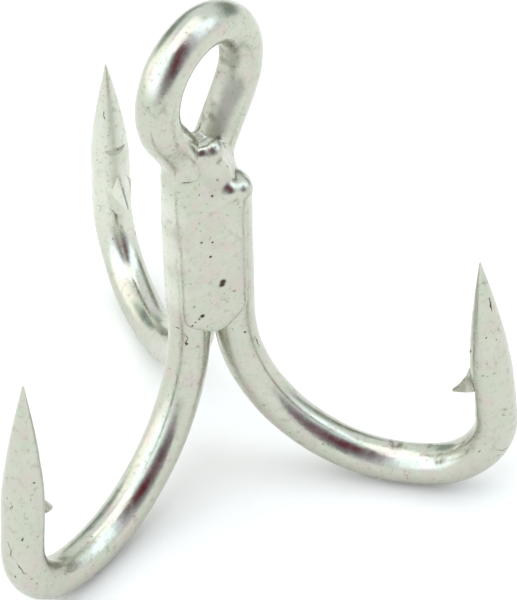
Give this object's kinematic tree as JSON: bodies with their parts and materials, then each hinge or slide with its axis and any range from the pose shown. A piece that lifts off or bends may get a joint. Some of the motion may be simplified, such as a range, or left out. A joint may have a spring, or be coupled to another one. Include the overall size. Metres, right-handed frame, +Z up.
{
  "type": "treble hook",
  "caption": "Short-shanked treble fishing hook: a double hook bent from one wire with a round eye, and a single hook brazed beside its shanks, with barbed points.",
  "frame": {"origin": "centre of the eye, the round loop that the line or split ring goes through", "axes": "+Z up along the shanks, away from the bends; +Y along the hole of the eye; the left arm of the double hook points to -X"},
  "size_m": [0.0455, 0.0529, 0.0535],
  "materials": {
    "plated_wire": "bright tin plate over ground and bent steel wire, dulled to satin on the outer faces",
    "plated_braze": "tin plate over braze, satin, with small pits"
  },
  "bodies": {
    "root": {"double_hook": "plated_wire", "single_hook": "plated_wire", "braze_body": "plated_braze"}
  },
  "joints": []
}
